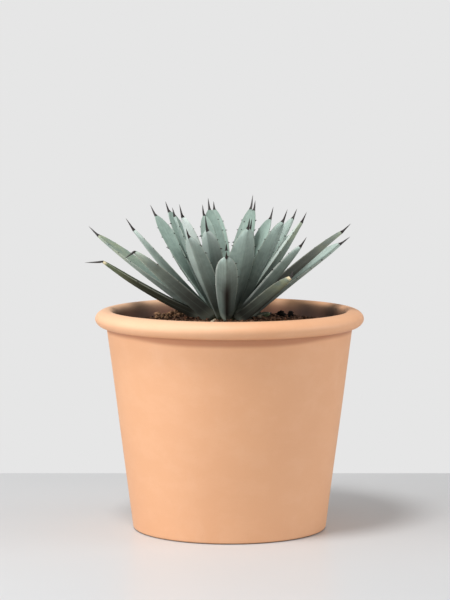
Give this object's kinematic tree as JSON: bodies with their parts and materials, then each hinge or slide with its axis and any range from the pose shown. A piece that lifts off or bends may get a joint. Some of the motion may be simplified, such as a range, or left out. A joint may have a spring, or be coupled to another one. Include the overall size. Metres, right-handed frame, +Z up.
{
  "type": "potted agave",
  "caption": "Compact rosette of keeled, toothed agave leaves with dark terminal spines, growing in potting soil in a rolled-rim terracotta pot.",
  "frame": {"origin": "on the pot's axis at the underside of its foot", "axes": "+Z up along the pot's axis; +X to the right and -Y towards the viewer as in the picture"},
  "size_m": [0.26, 0.2514, 0.3071],
  "materials": {
    "terracotta": "unglazed, matt",
    "potting_soil": "loose, matt",
    "stem_bark": "rough",
    "young_leaf": "waxy bloom",
    "grown_leaf": "waxy bloom",
    "old_leaf": "waxy bloom",
    "dried_leaf": "dry, rough"
  },
  "bodies": {
    "root": {"pot": "terracotta", "soil": "potting_soil", "stem": "stem_bark", "bud": "young_leaf", "leaf_01": "young_leaf", "leaf_02": "young_leaf", "leaf_03": "young_leaf", "leaf_04": "young_leaf", "leaf_05": "young_leaf", "leaf_06": "young_leaf", "leaf_07": "young_leaf", "leaf_08": "young_leaf", "leaf_09": "young_leaf", "leaf_10": "young_leaf", "leaf_11": "young_leaf", "leaf_12": "young_leaf", "leaf_13": "grown_leaf", "leaf_14": "grown_leaf", "leaf_15": "grown_leaf", "leaf_16": "grown_leaf", "leaf_17": "grown_leaf", "leaf_18": "grown_leaf", "leaf_19": "grown_leaf", "leaf_20": "grown_leaf", "leaf_21": "grown_leaf", "leaf_22": "old_leaf", "leaf_23": "old_leaf", "leaf_24": "old_leaf", "leaf_25": "old_leaf", "leaf_26": "old_leaf", "leaf_27": "old_leaf", "leaf_28": "old_leaf", "leaf_29": "old_leaf", "leaf_30": "old_leaf", "leaf_31": "old_leaf", "leaf_32": "old_leaf", "leaf_33": "old_leaf", "leaf_34": "dried_leaf"}
  },
  "joints": []
}
